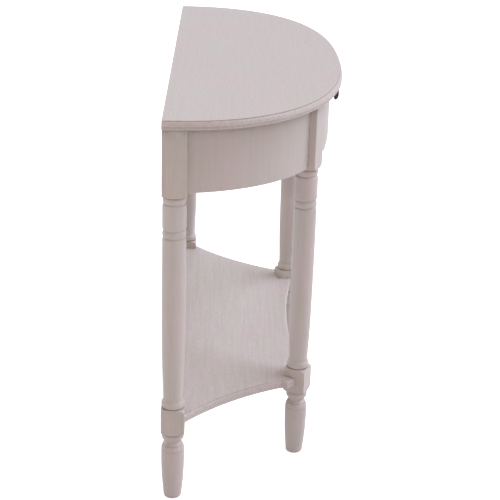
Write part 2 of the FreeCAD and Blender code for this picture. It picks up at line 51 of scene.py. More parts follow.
# Camera, as the photograph was taken: from the table's left end, a little above the top
camera_place = (-2.44761, 0.06806, 1.30301)
camera_yaw = math.radians(-1.549)
camera_tilt = math.radians(21.646)
camera_roll = math.radians(1.797)
camera_lens_mm = 89.73
camera_sensor_mm = 36

# Legs: the blocks, the shoulders that lead into them, and the turning between
leg_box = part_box("leg_back_left")
block_side = leg_box[1].x - leg_box[0].x
half_block = block_side / 2
leg_height = leg_box[1].z
foot_height = 0.1375
lower_block_height = 0.052
upper_block_height = 0.137
shoulder_radius = 0.0105
shoulder_ledge = 0.001
block_arris = 0.0013
front_leg_turn = math.radians(22)
leg_turns = {
    "leg_back_left": 0.0,
    "leg_back_right": 0.0,
    "leg_front_left": -front_leg_turn,
    "leg_front_right": front_leg_turn,
}
leg_sides = 112
corner_crowding = 0.72

# Turned profiles from the bottom up: heights are shares of the foot or the shaft, radii are shares
# of half the block. Two numbers end a straight stretch, four an arc, more are one smooth curve.
foot_turning_shares = (
    (0.000, 0.650),
    (0.008, 0.735, 0.026, 0.772),
    (0.327, 0.940, 0.728, 0.990),
    (0.736, 0.962),
    (0.744, 0.984),
    (0.780, 0.950, 0.807, 0.872),
    (0.812, 0.842),
    (0.820, 0.838),
    (0.851, 0.698),
    (0.858, 0.698),
    (0.906, 0.900),
    (0.918, 0.937, 0.938, 0.946),
    (0.992, 0.946),
)
shaft_turning_shares = (
    (0.0000, 0.935),
    (0.0030, 0.935),
    (0.0040, 0.978),
    (0.0100, 0.995, 0.0196, 0.995),
    (0.0260, 0.975, 0.0300, 0.930),
    (0.0355, 0.872, 0.0460, 0.850),
    (0.0750, 0.858, 0.1150, 0.885, 0.1970, 0.940, 0.3200, 0.975, 0.5150, 0.996, 0.6500, 0.998, 0.8000, 0.986),
    (0.8090, 0.965, 0.8145, 0.895),
    (0.8318, 0.982, 0.8485, 0.885),
    (0.8545, 0.962, 0.8640, 0.985),
    (0.9520, 0.985),
    (0.9610, 0.955, 0.9665, 0.872),
    (0.9825, 0.958, 0.9980, 0.900),
)
# Where the brown glaze has stayed in the turning: height share, how much of it, and how far it spreads
foot_glaze_shares = (
    (0.000, 0.5, 0.0015),
    (0.738, 0.35, 0.0013),
    (0.812, 0.5, 0.0013),
    (0.880, 0.16, 0.0080),
    (0.988, 1.0, 0.0026),
)
shaft_glaze_shares = (
    (0.0015, 1.0, 0.0014),
    (0.0400, 0.12, 0.0040),
    (0.8145, 0.35, 0.0013),
    (0.8485, 0.3, 0.0013),
    (0.9665, 0.35, 0.0013),
    (0.9970, 1.0, 0.0016),
)
foot_glaze = 0.05
block_glaze = 0.09
# Painted shade under the top: how dark the head of each leg's block and the top of each apron are painted, as in the
# top's shadow, and how far down it fades
painted_shade_under_top = 0.68
painted_shade_reach = 0.042

# Knob, along its axis from the drawer's face
knob_turning_shares = (
    (0.000, 0.590),
    (0.090, 0.590),
    (0.130, 0.540, 0.140, 0.480),
    (0.270, 0.345, 0.440, 0.420),
    (0.520, 0.560, 0.600, 0.900),
    (0.680, 1.000, 0.800, 0.965),
    (0.930, 0.760, 0.985, 0.420),
    (0.996, 0.280, 1.000, 0.140),
)
knob_sides = 64

# How closely points are set along a turned line: the length of a step, the fewest steps and the most
straight_steps = (0.0012, 3, 16)
arc_steps = (0.0008, 5, 22)
curve_steps = 9
shoulder_steps = 9
same_turned_point = 0.00001
turned_crease = math.radians(24)

# Edges of the boards: the moulding is a roll below a small step, with painted shade on the upright under it; the
# step's crease holds glaze and painted shadow, and the roll a painted highlight
mouldings = {
    "top": dict(arris=0.0012, run=0.0045, rise=0.0075, step=0.0015, ledge=0.0, upright_painted_shade=0.38, quirk_glaze_and_shade=0.85),
    "shelf": dict(arris=0.0, run=0.0035, rise=0.0048, step=0.0012, ledge=0.0005, upright_painted_shade=0.03, quirk_glaze_and_shade=0.3),
}
upright_painted_shade_shares = ((0.1, 0.2), (0.35, 1.0), (0.8, 1.0), (0.97, 0.4))
step_softness = 0.0005
apron_arris = 0.0012
apron_drop = 0.0012
drawer_face_arris = 0.0015
sawn_edge_arris = 0.0008
planed_edge_arris = 0.0006
fillet_steps = 6
board_crease = math.radians(32)
planed_corner = math.radians(50)

# Outlines read from the CAD mesh: how close two places lie where they are one, what is too short or
# too straight to keep, and into how many pieces each stretch of a curve is divided
same_point = 0.000002
same_height = 0.00001
same_face = 0.0004
back_edge_reach = 0.0005
short_step = 0.0002
least_turn = 0.0004
gentle_turn = 0.2
nearly_straight = 0.03
moulded_pieces = 3
bowed_pieces = 4
face_depth_share = 0.6
face_slant = 0.8

# Studio: the glow from all round, what each side of the room adds, the large key light, the small
# lamp just above the camera, and the floor
room_light = (0.012, 0.008, 0.004)
room_sides = (
    ("Z", 1, (0.160, 0.014, 0.000)),
    ("Y", -1, (0.386, 0.361, 0.189)),
    ("Y", 1, (0.912, 0.975, 0.931)),
    ("X", 1, (0.945, 1.092, 1.101)),
)
key_direction = (0.10, -0.80, 0.75)
key_spread_degrees = 55
key_strength = 1.97
key_colour = (0.928, 1.000, 1.248)
lamp_rise = 0.150
lamp_width = 0.10
lamp_watts = 6.46
lamp_colour = (1.050, 0.960, 0.790)
lamp_aim_share = 0.6
floor_reach = 30.0
floor_drop = 0.0002
floor_glow = 0.78
floor_sheen = 0.40

# Screws
screw_head_radius = 0.004
screw_head_depth = 0.0024
screw_radius = 0.002
recess_width = 0.0011
recess_depth = 0.0017
recess_length_share = 1.15
tip_length_share = 2.2
tip_radius = 0.0001
screw_sides = 28
screw_crease = math.radians(28)

# Finishes: how fine each pattern is, in repeats to the metre, and how deep the relief of each surface
bands_per_metre = (7.0, 150.0, 150.0)
pores_per_metre = (190.0, 1500.0, 1500.0)
glaze_patches_per_metre = 55.0
rubbed_patches_per_metre = 90.0
clouds_per_metre = 11.0
mottles_per_metre = 240.0
brush_marks_per_metre = 260.0
paint_relief = 0.00012
planed_relief = 0.00015
metal_relief = 0.00008

# Colours, as linear light
limed_pink = (0.560, 0.488, 0.486, 1)
limed_beige = (0.540, 0.494, 0.474, 1)
# Brown of the glaze, also used for painted shade
glaze_and_shade_brown = (0.215, 0.135, 0.095, 1)
rubbed_wood = (0.640, 0.520, 0.430, 1)
pine_light = (0.640, 0.440, 0.250, 1)
pine_dark = (0.470, 0.285, 0.140, 1)
ply_light = (0.660, 0.500, 0.320, 1)
ply_dark = (0.560, 0.400, 0.240, 1)
bronze_dark = (0.020, 0.017, 0.016, 1)
bronze_rubbed = (0.052, 0.040, 0.032, 1)
zinc_bright = (0.560, 0.565, 0.575, 1)
zinc_dull = (0.360, 0.355, 0.350, 1)
floor_grey = (0.72, 0.72, 0.72, 1)
floor_pale = (0.75, 0.75, 0.75, 1)
white = (1, 1, 1, 1)


class Bench:
    """Adds nodes to one tree and links what they are given, so that a rule reads downwards."""

    def __init__(self, tree):
        self.tree = tree

    def feed(self, socket, value):
        if isinstance(value, bpy.types.NodeSocket):
            self.tree.links.new(value, socket)
        else:
            socket.default_value = value

    def feed_all(self, sockets, values):
        for key, value in values.items():
            self.feed(sockets[key], value)

    def add(self, kind, values=(), **settings):
        node = self.tree.nodes.new(kind)
        for name, value in settings.items():
            setattr(node, name, value)
        self.feed_all(node.inputs, dict(values))
        return node

    def get(self, kind, values=(), **settings):
        return self.add(kind, values, **settings).outputs[0]

    def calc(self, operation, *values, clamp=False):
        return self.get("ShaderNodeMath", dict(enumerate(values)), operation=operation, use_clamp=clamp)

    def times(self, first, second, clamp=False):
        return self.calc("MULTIPLY", first, second, clamp=clamp)

    def vector(self, operation, *values):
        return self.get("ShaderNodeVectorMath", dict(enumerate(values)), operation=operation)

    def triple(self, x, y, z):
        return self.get("ShaderNodeCombineXYZ", {0: x, 1: y, 2: z})

    def mix(self, factor, first, second, blend="MIX"):
        values = {0: factor, 6: first, 7: second}
        return self.add("ShaderNodeMix", values, data_type="RGBA", blend_type=blend).outputs[2]

    def noise(self, vector, scale=1.0, **more):
        values = {name.capitalize(): value for name, value in more.items()}
        return self.get("ShaderNodeTexNoise", {"Vector": vector, "Scale": scale, **values})

    def ramp(self, value, low, high, to_low=0.0, to_high=1.0):
        values = {0: value, 1: low, 2: high, 3: to_low, 4: to_high}
        return self.get("ShaderNodeMapRange", values, interpolation_type="SMOOTHSTEP")


def new_tree(name, kind, inputs, outputs):
    """A node tree with named sockets: its bench, what it is given and where its result goes.

    Each input comes with its usual value, or with the kind of what has to be given to it.
    """
    tree = bpy.data.node_groups.new(name, kind)
    kinds = {float: "Float", int: "Int", tuple: "Color"}
    for label, value in inputs.items():
        socket = kinds.get(type(value), value)
        made = tree.interface.new_socket(label, in_out="INPUT", socket_type="NodeSocket" + socket)
        if socket != value:
            made.default_value = value
    for label, socket in outputs.items():
        tree.interface.new_socket(label, in_out="OUTPUT", socket_type="NodeSocket" + socket)
    bench = Bench(tree)
    return bench, bench.add("NodeGroupInput").outputs, bench.add("NodeGroupOutput").inputs


def new_material(name):
    """A material with its own shader: its bench, the shader's inputs and the place on the piece."""
    material = bpy.data.materials.new(name)
    material.use_nodes = True
    bench = Bench(material.node_tree)
    shader = next(node for node in material.node_tree.nodes if node.type == "BSDF_PRINCIPLED")
    return material, bench, shader.inputs, bench.add("ShaderNodeTexCoord").outputs["Object"]


def give_surface(bench, shader, colour, rough, height, relief, strength):
    """Feeds a shader its colour, its roughness and the relief of its surface."""
    bump = bench.get("ShaderNodeBump", {"Height": height, "Distance": relief, "Strength": strength})
    bench.feed_all(shader, {"Base Color": colour, "Roughness": rough, "Normal": bump})


def make_grain_group():
    """Fine streaks, slower bands and open pores, all running along the vector's X."""
    inputs = {"Vector": "Vector", "Streak Width": 0.0012, "Streak Length": 0.06, "Pore Amount": 0.5}
    outputs = {"Streaks": "Float", "Bands": "Float", "Pores": "Float"}
    bench, given, result = new_tree("wood_grain", "ShaderNodeTree", inputs, outputs)
    noise = bench.noise
    fine = bench.triple(given["Streak Length"], given["Streak Width"], given["Streak Width"])
    streaks = noise(bench.vector("DIVIDE", given["Vector"], fine), detail=3.0, roughness=0.6)
    bands = noise(bench.vector("MULTIPLY", given["Vector"], bands_per_metre), detail=2.0, distortion=0.3)
    pore_noise = noise(bench.vector("MULTIPLY", given["Vector"], pores_per_metre), detail=1.0)
    pores = bench.times(bench.ramp(pore_noise, 0.62, 0.74), given["Pore Amount"])
    bench.feed_all(result, {"Streaks": streaks, "Bands": bands, "Pores": pores})
    return bench.tree


def make_edge_group():
    """Where glaze has stayed in the crevices, where shade is painted into corners, gaps and the places the meshes
    mark, and where handling has rubbed the edges, broken up by noise.
    """
    inputs = {"Vector": "Vector", "Glaze And Shade Amount": 0.8, "Rub Amount": 0.5, "Crevice Reach": 0.018}
    outputs = {"Glaze And Shade": "Float", "Rub": "Float"}
    bench, given, result = new_tree("glaze_shade_and_rubbing", "ShaderNodeTree", inputs, outputs)
    calc, times, noise = bench.calc, bench.times, bench.noise
    patches = noise(given["Vector"], scale=glaze_patches_per_metre, detail=4.0, roughness=0.65)
    kept = bench.ramp(patches, 0.30, 0.66, 0.45, 1.0)
    rubs = noise(given["Vector"], scale=rubbed_patches_per_metre, detail=5.0, roughness=0.7)
    worn = bench.ramp(rubs, 0.42, 0.68)
    recess, edge = (bench.add("ShaderNodeAttribute", attribute_name=name).outputs["Fac"] for name in ("glaze", "rub"))
    # Occlusion: glaze in the joints, and painted shade in the corners and gaps round them
    open_sky = bench.add("ShaderNodeAmbientOcclusion", {"Distance": given["Crevice Reach"]}, samples=6)
    crevice_glaze_and_shade = bench.ramp(open_sky.outputs["AO"], 0.15, 0.66, 0.75, 0.0)
    marked_glaze_and_shade = calc("MAXIMUM", recess, crevice_glaze_and_shade)
    glaze = times(times(marked_glaze_and_shade, kept), given["Glaze And Shade Amount"], clamp=True)
    rub = times(times(edge, worn), given["Rub Amount"], clamp=True)
    bench.feed_all(result, {"Glaze And Shade": glaze, "Rub": rub})
    return bench.tree


def make_limed_group(grain_group, edge_group):
    """Thin pale paint brushed over open-grained wood: its colour, its gloss and its relief."""
    inputs = {"Vector": "Vector", "Grain Vector": "Vector", "Pink Paint": limed_pink, "Beige Paint": limed_beige}
    inputs.update({"Glaze Colour": glaze_and_shade_brown, "Wood Colour": rubbed_wood})
    inputs.update({"Grain Contrast": 0.2, "Mottle Contrast": 0.1, "Pore Amount": 0.5})
    outputs = {"Colour": "Color", "Roughness": "Float", "Height": "Float"}
    bench, given, result = new_tree("limed_paint", "ShaderNodeTree", inputs, outputs)
    calc, times, noise = bench.calc, bench.times, bench.noise
    values = {"Vector": given["Grain Vector"], "Pore Amount": given["Pore Amount"]}
    streaks, bands, pores = bench.add("ShaderNodeGroup", values, node_tree=grain_group).outputs
    glaze, rub = bench.add("ShaderNodeGroup", {"Vector": given["Vector"]}, node_tree=edge_group).outputs
    clouds = bench.ramp(noise(given["Vector"], scale=clouds_per_metre, detail=3.0), 0.38, 0.62)
    paint = bench.mix(clouds, given["Beige Paint"], given["Pink Paint"])
    tone = calc("ADD", times(streaks, 0.55), times(bands, 0.45))
    tone = calc("MULTIPLY_ADD", calc("SUBTRACT", tone, 0.5), given["Grain Contrast"], 1.0)
    mottle = noise(given["Vector"], scale=mottles_per_metre, detail=3.0, roughness=0.7)
    mottle = calc("SUBTRACT", mottle, 0.5)
    tone = calc("MULTIPLY_ADD", mottle, given["Mottle Contrast"], tone)
    tone = calc("SUBTRACT", tone, times(pores, 0.12))
    toned = bench.mix(1.0, paint, bench.triple(tone, tone, tone), blend="MULTIPLY")
    rubbed = bench.mix(rub, toned, given["Wood Colour"])
    # The glaze brown goes where the mask says: real glaze in grooves and joints, and painted shade under the top, in
    # corners and on the moulding's upright
    glazed_and_shaded = bench.mix(glaze, rubbed, given["Glaze Colour"])
    brushing = noise(given["Grain Vector"], scale=brush_marks_per_metre, detail=2.0)
    rough = calc("MULTIPLY_ADD", brushing, 0.10, 0.40)
    rough = calc("MULTIPLY_ADD", glaze, 0.18, rough)
    rough = calc("MULTIPLY_ADD", clouds, 0.03, rough)
    height = calc("MULTIPLY_ADD", streaks, 0.5, times(brushing, 0.5))
    height = calc("SUBTRACT", height, times(pores, 0.8))
    bench.feed_all(result, {"Colour": glazed_and_shaded, "Roughness": rough, "Height": height})
    return bench.tree


def make_limed_wood(name, group, grain_turn, contrast, mottle, pores, lift):
    """Limed wood whose grain, once turned, runs along X."""
    material, bench, shader, place = new_material(name)
    turned = bench.get("ShaderNodeMapping", {"Vector": place, "Rotation": grain_turn})
    values = {"Vector": place, "Grain Vector": turned}
    values.update({"Grain Contrast": contrast, "Mottle Contrast": mottle, "Pore Amount": pores})
    for key, colour in (("Pink Paint", limed_pink), ("Beige Paint", limed_beige)):
        values[key] = tuple(lift * value for value in colour[:3]) + (1,)
    colour, rough, height = bench.add("ShaderNodeGroup", values, node_tree=group).outputs
    give_surface(bench, shader, colour, rough, height, paint_relief, 0.5)
    bench.feed(shader["Specular IOR Level"], 0.35)
    return material


def make_raw_wood(name, group, light, dark, grain_turn, ring_scale):
    """Unpainted wood, planed: pine for the boards that stay out of sight, or peeled veneer."""
    material, bench, shader, place = new_material(name)
    turned = bench.get("ShaderNodeMapping", {"Vector": place, "Rotation": grain_turn})
    values = {"Vector": turned, "Pore Amount": 0.35}
    streaks, bands, pores = bench.add("ShaderNodeGroup", values, node_tree=group).outputs
    swirl = bench.vector("MULTIPLY", turned, (1.3, ring_scale, ring_scale))
    rings = bench.calc("PINGPONG", bench.times(bench.noise(swirl, scale=2.2, detail=1.0), 9.0), 0.5)
    late_wood = bench.ramp(rings, 0.25, 0.5)
    tone = bench.calc("MULTIPLY_ADD", streaks, 0.5, bench.times(late_wood, 0.6))
    colour = bench.mix(bench.calc("SUBTRACT", tone, 0.1, clamp=True), light, dark)
    rough = bench.calc("MULTIPLY_ADD", bands, 0.15, 0.55)
    give_surface(bench, shader, colour, rough, bench.calc("SUBTRACT", streaks, pores), planed_relief, 0.6)
    return material


def make_metal(name, edge_group, plain, rubbed, smooth, speckle):
    """A cast or plated metal that is darker in its hollows and brighter where it is touched."""
    material, bench, shader, place = new_material(name)
    values = {"Vector": place, "Rub Amount": 0.9}
    glaze, rub = bench.add("ShaderNodeGroup", values, node_tree=edge_group).outputs
    spots = bench.noise(place, scale=speckle, detail=4.0, roughness=0.6)
    touched = bench.calc("MAXIMUM", rub, bench.ramp(spots, 0.56, 0.74, 0.0, 0.35))
    rough = bench.calc("MULTIPLY_ADD", glaze, 0.2, bench.calc("MULTIPLY_ADD", spots, 0.22, smooth))
    give_surface(bench, shader, bench.mix(touched, plain, rubbed), rough, spots, metal_relief, 0.5)
    bench.feed(shader["Metallic"], 0.9)
    return material


def new_object(name, data):
    """An object in the scene, made round its mesh, light or camera."""
    made = bpy.data.objects.new(name, data)
    scene.collection.objects.link(made)
    return made


def taken_off(maker):
    """The plain mesh that an object's modifier makes; the object itself goes."""
    made = bpy.data.meshes.new_from_object(maker.evaluated_get(bpy.context.evaluated_depsgraph_get()))
    bpy.data.objects.remove(maker)
    return made


def run_tree(mesh, tree, values):
    """The plain mesh that a geometry tree makes of a mesh, with its named inputs set."""
    maker = new_object("maker", mesh)
    modifier = maker.modifiers.new("shape", "NODES")
    modifier.node_group = tree
    for item in tree.interface.items_tree:
        if item.item_type == "SOCKET" and item.in_out == "INPUT" and item.name in values:
            modifier[item.identifier] = values[item.name]
    return taken_off(maker)


def creased(bench, shape, angle):
    """Shades a shape smooth, but sharp along each edge that turns by more than the angle."""
    shape = bench.get("GeometryNodeSetShadeSmooth", {"Geometry": shape, "Shade Smooth": True})
    turn = bench.add("GeometryNodeInputMeshEdgeAngle").outputs["Unsigned Angle"]
    values = {"Geometry": shape, "Selection": bench.calc("GREATER_THAN", turn, angle), "Shade Smooth": False}
    return bench.get("GeometryNodeSetShadeSmooth", values, domain="EDGE")


def end_tree(bench, shape, material, result):
    """Ends a geometry tree: one real mesh, in its material."""
    shape = bench.get("GeometryNodeRealizeInstances", {"Geometry": shape})
    bench.feed(result, bench.get("GeometryNodeSetMaterial", {"Geometry": shape, "Material": material}))
    return bench.tree


def make_turning_tree():
    """Turns a profile line round Z and planes it to the square of the blocks, shoulders included.

    The line's points carry "shoulder", how far round a shoulder they lie, and "way", up or down.
    """
    inputs = {"Profile": "Geometry", "Sides": leg_sides, "Block Side": block_side, "Arris Radius": block_arris}
    inputs.update({"Shoulder Radius": shoulder_radius, "Shoulder Start": half_block - shoulder_ledge})
    inputs.update({"Crowding": corner_crowding, "Block Glaze": block_glaze, "Material": "Material"})
    bench, given, result = new_tree("turned_piece", "GeometryNodeTree", inputs, {"Piece": "Geometry"})
    calc, times = bench.calc, bench.times
    count = bench.add("GeometryNodeAttributeDomainSize", {"Geometry": given["Profile"]}).outputs["Point Count"]
    columns = calc("ADD", given["Sides"], 1)
    grid = bench.add("GeometryNodeMeshGrid", {"Vertices X": count, "Vertices Y": columns}).outputs["Mesh"]
    index = bench.get("GeometryNodeInputIndex")
    row = calc("FLOOR", calc("DIVIDE", calc("ADD", index, 0.5), columns))
    column = calc("SUBTRACT", index, times(row, columns))

    def from_profile(value, kind="FLOAT"):
        values = {"Geometry": given["Profile"], "Value": value, "Index": row}
        return bench.get("GeometryNodeSampleIndex", values, data_type=kind)

    def named(label):
        return from_profile(bench.get("GeometryNodeInputNamedAttribute", {"Name": label}))

    place = from_profile(bench.get("GeometryNodeInputPosition"), "FLOAT_VECTOR")
    radius, _, height = bench.add("ShaderNodeSeparateXYZ", {0: place}).outputs
    shoulder, way = named("shoulder"), named("way")

    angle = times(calc("DIVIDE", column, given["Sides"]), math.tau)
    swing = calc("DIVIDE", calc("SINE", times(angle, 4.0)), 4.0)
    angle = calc("MULTIPLY_ADD", swing, given["Crowding"], angle)
    across, ahead = calc("COSINE", angle), calc("SINE", angle)
    larger = calc("MAXIMUM", calc("ABSOLUTE", across), calc("ABSOLUTE", ahead))
    smaller = calc("MINIMUM", calc("ABSOLUTE", across), calc("ABSOLUTE", ahead))

    half = times(given["Block Side"], 0.5)
    core = calc("SUBTRACT", half, given["Arris Radius"])
    flat = calc("DIVIDE", half, larger)
    drive = times(core, calc("ADD", larger, smaller))
    inside = calc("SUBTRACT", times(given["Arris Radius"], given["Arris Radius"]), times(times(core, core), 2.0))
    root = calc("SQRT", calc("MAXIMUM", calc("MULTIPLY_ADD", drive, drive, inside), 0.0))
    at_arris = calc("GREATER_THAN", times(half, smaller), times(core, larger))
    gain = calc("SUBTRACT", calc("ADD", drive, root), flat)
    square = calc("MULTIPLY_ADD", at_arris, gain, flat)

    reach = calc("DIVIDE", calc("SUBTRACT", square, given["Shoulder Start"]), given["Shoulder Radius"], clamp=True)
    lean = times(shoulder, calc("ARCSINE", reach))
    on_shoulder = calc("MULTIPLY_ADD", calc("SINE", lean), given["Shoulder Radius"], given["Shoulder Start"])
    rise = times(calc("SUBTRACT", 1.0, calc("COSINE", lean)), given["Shoulder Radius"])
    planed = calc("MINIMUM", radius, square)
    radius_out = calc("MULTIPLY_ADD", calc("ABSOLUTE", way), calc("SUBTRACT", on_shoulder, planed), planed)
    height_out = calc("MULTIPLY_ADD", way, rise, height)
    moved = bench.triple(times(across, radius_out), times(ahead, radius_out), height_out)
    shape = bench.get("GeometryNodeSetPosition", {"Geometry": grid, "Position": moved})

    on_block = calc("GREATER_THAN", calc("ADD", radius, times(shoulder, half)), square)
    arris_wear = times(bench.ramp(calc("DIVIDE", smaller, larger), 0.86, 0.99), on_block)
    rub = calc("MAXIMUM", named("rub"), arris_wear)
    glaze = calc("MAXIMUM", named("glaze"), times(on_block, given["Block Glaze"]))
    for label, value in (("glaze", glaze), ("rub", rub)):
        values = {"Geometry": shape, "Name": label, "Value": value}
        shape = bench.get("GeometryNodeStoreNamedAttribute", values)
    shape = bench.get("GeometryNodeMergeByDistance", {"Geometry": shape, "Distance": same_turned_point})
    shape = creased(bench, bench.get("GeometryNodeFlipFaces", {"Mesh": shape}), turned_crease)
    return end_tree(bench, shape, given["Material"], result["Piece"])


def arc_through(start, middle, end, count):
    """Points on the arc through three points, without its start."""
    (ax, ay), (bx, by), (cx, cy) = start, middle, end
    twice = 2 * (ax * (by - cy) + bx * (cy - ay) + cx * (ay - by))
    a2, b2, c2 = ax * ax + ay * ay, bx * bx + by * by, cx * cx + cy * cy
    ux = (a2 * (by - cy) + b2 * (cy - ay) + c2 * (ay - by)) / twice
    uy = (a2 * (cx - bx) + b2 * (ax - cx) + c2 * (bx - ax)) / twice
    first, mid, last = (math.atan2(y - uy, x - ux) for x, y in (start, middle, end))
    sweep = (last - first) % math.tau
    if (mid - first) % math.tau > sweep:
        sweep -= math.tau
    radius = math.hypot(ax - ux, ay - uy)
    angles = [first + sweep * step / count for step in range(1, count + 1)]
    return [(ux + radius * math.cos(angle), uy + radius * math.sin(angle)) for angle in angles]


def smooth_through(points, per_span):
    """A smooth curve through all the points, without the first."""
    line = [points[0]] + list(points) + [points[-1]]
    made = []
    for p0, p1, p2, p3 in zip(line, line[1:], line[2:], line[3:]):
        for step in range(1, per_span + 1):
            t = step / per_span
            made.append(tuple(
                0.5 * (2 * b + (c - a) * t + (2 * a - 5 * b + 4 * c - d) * t * t + (3 * b - a - 3 * c + d) * t ** 3)
                for a, b, c, d in zip(p0, p1, p2, p3)
            ))
    return made


def step_count(start, end, step, fewest, most):
    """How many steps lead from start to end."""
    return max(fewest, min(most, round(math.dist(start, end) / step)))


def profile_points(rows, base, height, radius):
    """The points (radius, height) of one turned stretch."""
    def point(z_share, r_share):
        return (radius * r_share, base + height * z_share)

    made = [point(*rows[0])]
    for row in rows[1:]:
        points = [point(row[i], row[i + 1]) for i in range(0, len(row), 2)]
        if len(points) == 1:
            start, end = made[-1], points[0]
            count = step_count(start, end, *straight_steps)
            for step in range(1, count + 1):
                share = (1 - math.cos(math.pi * step / count)) / 2
                made.append(tuple(a + (b - a) * share for a, b in zip(start, end)))
        elif len(points) == 2:
            made += arc_through(made[-1], *points, step_count(made[-1], points[1], *arc_steps))
        else:
            made += smooth_through([made[-1]] + points, curve_steps)
    return made


def line_mesh(rows):
    """A profile as a line of points that carry what the turning tree reads."""
    mesh = bpy.data.meshes.new("profile")
    points = [(radius, 0, z) for radius, z, _, _, _, _ in rows]
    mesh.from_pydata(points, [(i, i + 1) for i in range(len(points) - 1)], [])
    for column, label in enumerate(("shoulder", "way", "glaze", "rub"), 2):
        values = [row[column] for row in rows]
        mesh.attributes.new(label, "FLOAT", "POINT").data.foreach_set("value", values)
    return mesh


def leg_profile():
    """The leg's line from the middle of its sole to the middle of its head."""
    shaft_base = foot_height + lower_block_height
    block_base = leg_height - upper_block_height
    shaft_length = block_base - shaft_base
    joints = [(foot_height * share, amount, spread) for share, amount, spread in foot_glaze_shares]
    joints += [(shaft_base + shaft_length * share, amount, spread) for share, amount, spread in shaft_glaze_shares]

    def plain(radius, z):
        glaze = max(amount * math.exp(-((z - joint) / spread) ** 2) for joint, amount, spread in joints)
        return (radius, z, 0, 0, max(glaze, foot_glaze if z < foot_height else 0), 0)

    def shoulder(z, way, shares):
        return [(half_block + share * shoulder_radius, z, share, way, (1 - share) ** 4, 0.8 * share ** 5)
                for share in shares]

    steps = [step / shoulder_steps for step in range(shoulder_steps + 1)]
    rows = [plain(0, 0)]
    rows += [plain(*point) for point in profile_points(foot_turning_shares, 0, foot_height, half_block)]
    rows += shoulder(foot_height, 1, steps)
    rows += shoulder(shaft_base, -1, steps[::-1])
    rows += [plain(*point) for point in profile_points(shaft_turning_shares, shaft_base, shaft_length, half_block)]
    rows += shoulder(block_base, 1, steps)
    # Painted shade: the block darkens towards the top, where the top's shadow falls
    for share in (1, 0.75, 0.5, 0.25, 0):
        rows.append((block_side, leg_height - painted_shade_reach * share, 0, 0, painted_shade_under_top * (1 - share), 0))
    rows.append((0, leg_height, 0, 0, 0, 0))
    return line_mesh(rows)


def add_piece(name, mesh, body, slot, *nodes):
    """A finished piece at the origin, riding on its body and standing for its CAD nodes."""
    made = new_object(name, mesh)
    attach(made, body)
    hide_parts(*nodes)


def middle_in_plan(node):
    """The middle of a CAD node's box, seen from above."""
    low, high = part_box(node)
    return (low.x + high.x) / 2, (low.y + high.y) / 2


def make_legs(tree, material):
    """The four legs, the front ones turned about the vertical so that their blocks follow the curve."""
    profile = leg_profile()
    for node, turn in leg_turns.items():
        mesh = run_tree(profile, tree, {"Material": material})
        place = Matrix.Translation((*middle_in_plan(node), 0))
        mesh.transform(place @ Matrix.Rotation(turn, 4, "Z"))
        add_piece("turned_" + node, mesh, "table", "limed_wood", node)


def make_knob(tree, material):
    """The knob, dull in the hollow of its neck and rubbed bright round its rim."""
    low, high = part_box("knob")
    radius, length = (high.x - low.x) / 2, high.y - low.y
    points = profile_points(knob_turning_shares, 0, length, radius)
    waist = min(r for r, z in points[len(points) // 6:len(points) // 2])
    rows = [(0, 0, 0, 0, 0, 0)]
    for r, z in points:
        hollow = 1 - min(1, (r - waist) / (0.25 * radius)) if z < length / 2 else 0
        rows.append((r, z, 0, 0, max(0, hollow), max(0, (r / radius - 0.8) / 0.2)))
    rows.append((0, length, 0, 0, 0, 0.3))
    values = {"Sides": knob_sides, "Block Side": 1.0, "Crowding": 0.0, "Material": material}
    mesh = run_tree(line_mesh(rows), tree, values)
    place = Matrix.Translation((0, high.y, (low.z + high.z) / 2))
    mesh.transform(place @ Matrix.Rotation(math.pi / 2, 4, "X"))
    add_piece("turned_knob", mesh, "drawer", "knob_metal", "knob")


def merged_copy(node):
    """A copy of a CAD node's mesh with its loose triangles joined."""
    shape = bmesh.new()
    shape.from_mesh(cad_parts[node].data)
    bmesh.ops.remove_doubles(shape, verts=shape.verts, dist=same_point)
    return shape


def crossed(first, second):
    """How far each way of the first turns to that of the second, anticlockwise: their cross product in plan."""
    return first[..., 0] * second[..., 1] - first[..., 1] * second[..., 0]


def underside_outline(node):
    """The outer loop of a board's underside, anticlockwise from its foremost point, from its CAD node."""
    shape = merged_copy(node)
    floor = min(vert.co.z for vert in shape.verts)
    under = {face for face in shape.faces if all(vert.co.z - floor < same_height for vert in face.verts)}
    rim = [edge for edge in shape.edges if sum(face in under for face in edge.link_faces) == 1]
    beside = {}
    for edge in rim:
        for vert in edge.verts:
            beside.setdefault(vert, []).append(edge.other_vert(vert))
    loops = []
    left = set(beside)
    while left:
        loop = [left.pop()]
        while onward := [vert for vert in beside[loop[-1]] if vert in left]:
            loop.append(onward[0])
            left.discard(onward[0])
        loops.append(np.array([vert.co.xy for vert in loop]))
    shape.free()
    loop = max(loops, key=lambda points: np.ptp(points, axis=0).sum())
    loop = loop if crossed(loop, np.roll(loop, -1, axis=0)).sum() > 0 else loop[::-1]
    return np.roll(loop, -np.lexsort(loop.T)[0], axis=0)


def unit_rows(rows):
    """Each row brought to the length of one."""
    return rows / np.linalg.norm(rows, axis=1)[:, None]


def without_short_steps(outline):
    """Drops points that lie on a straight stretch or on top of the next one."""
    kept = outline[np.linalg.norm(np.roll(outline, -1, axis=0) - outline, axis=1) > short_step]
    along = unit_rows(np.roll(kept, -1, axis=0) - kept)
    return kept[np.abs(crossed(np.roll(along, 1, axis=0), along)) > least_turn]


